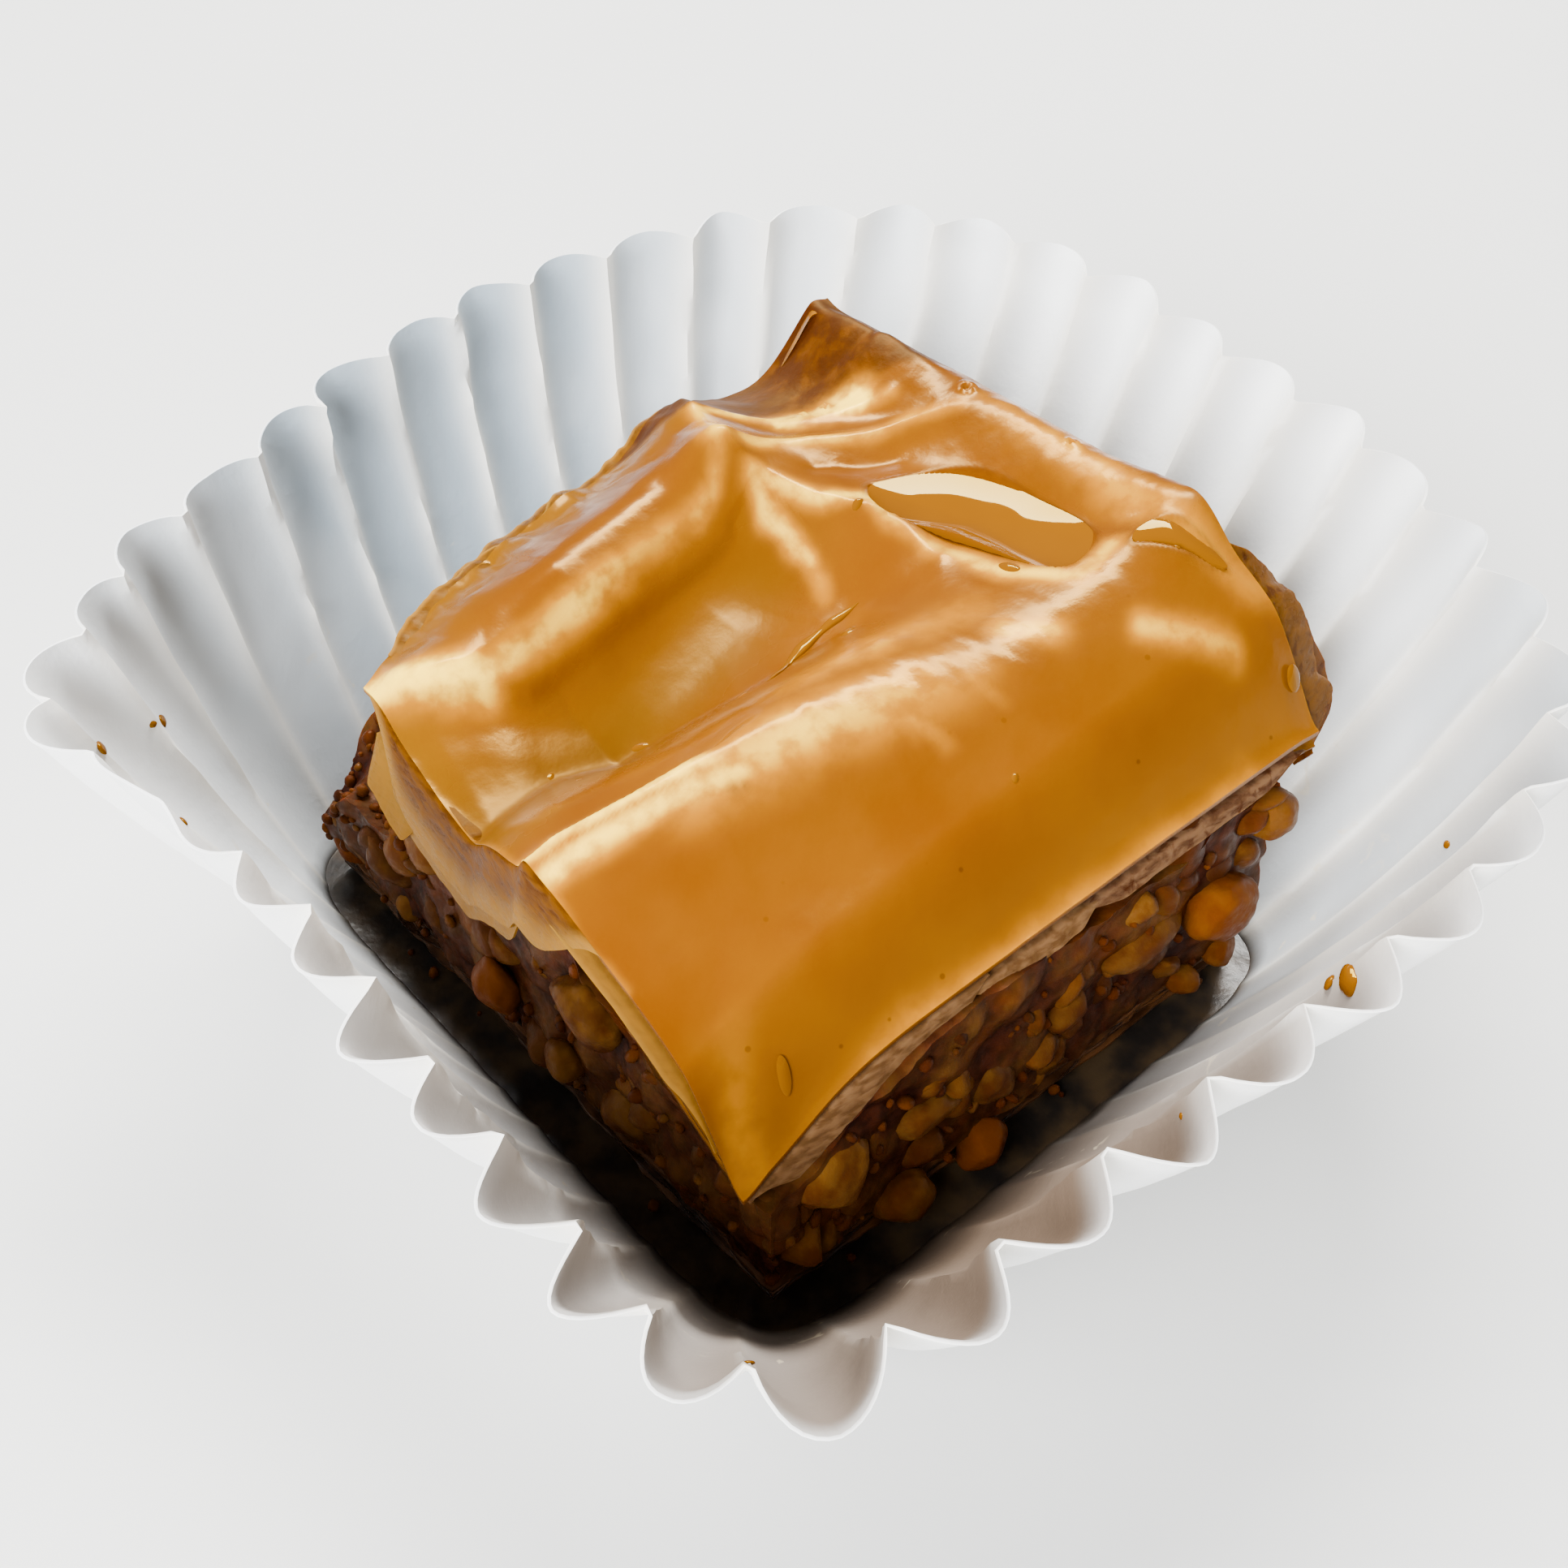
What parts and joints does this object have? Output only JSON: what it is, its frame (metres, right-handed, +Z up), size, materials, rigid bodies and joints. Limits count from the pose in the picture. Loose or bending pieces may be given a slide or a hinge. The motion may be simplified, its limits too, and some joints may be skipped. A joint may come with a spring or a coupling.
{
  "type": "baklava piece in a fluted paper case",
  "caption": "Square piece of baklava with a glazed puffed top and a chopped nut filling, resting in an open fluted white paper case.",
  "frame": {"origin": "under the middle of the whole part, on the surface that the paper case rests on", "axes": "+Z up; +X along the piece's front right side, from its drooping near corner to its right corner; +Y along its front left side, from the near corner to the left corner"},
  "size_m": [0.079, 0.08, 0.0287],
  "materials": {
    "case_paper": "thin white greaseproof paper, slightly see-through, soaked dark at the floor",
    "soaked_pastry": "pastry sheets soaked brown with syrup",
    "chopped_nuts": "coarse chopped walnut bound with dark spiced syrup",
    "glazed_pastry": "golden baked pastry under a glossy syrup glaze"
  },
  "bodies": {
    "root": {"paper_case": "case_paper", "bottom_pastry": "soaked_pastry", "nut_filling": "chopped_nuts", "top_pastry": "glazed_pastry"}
  },
  "joints": []
}
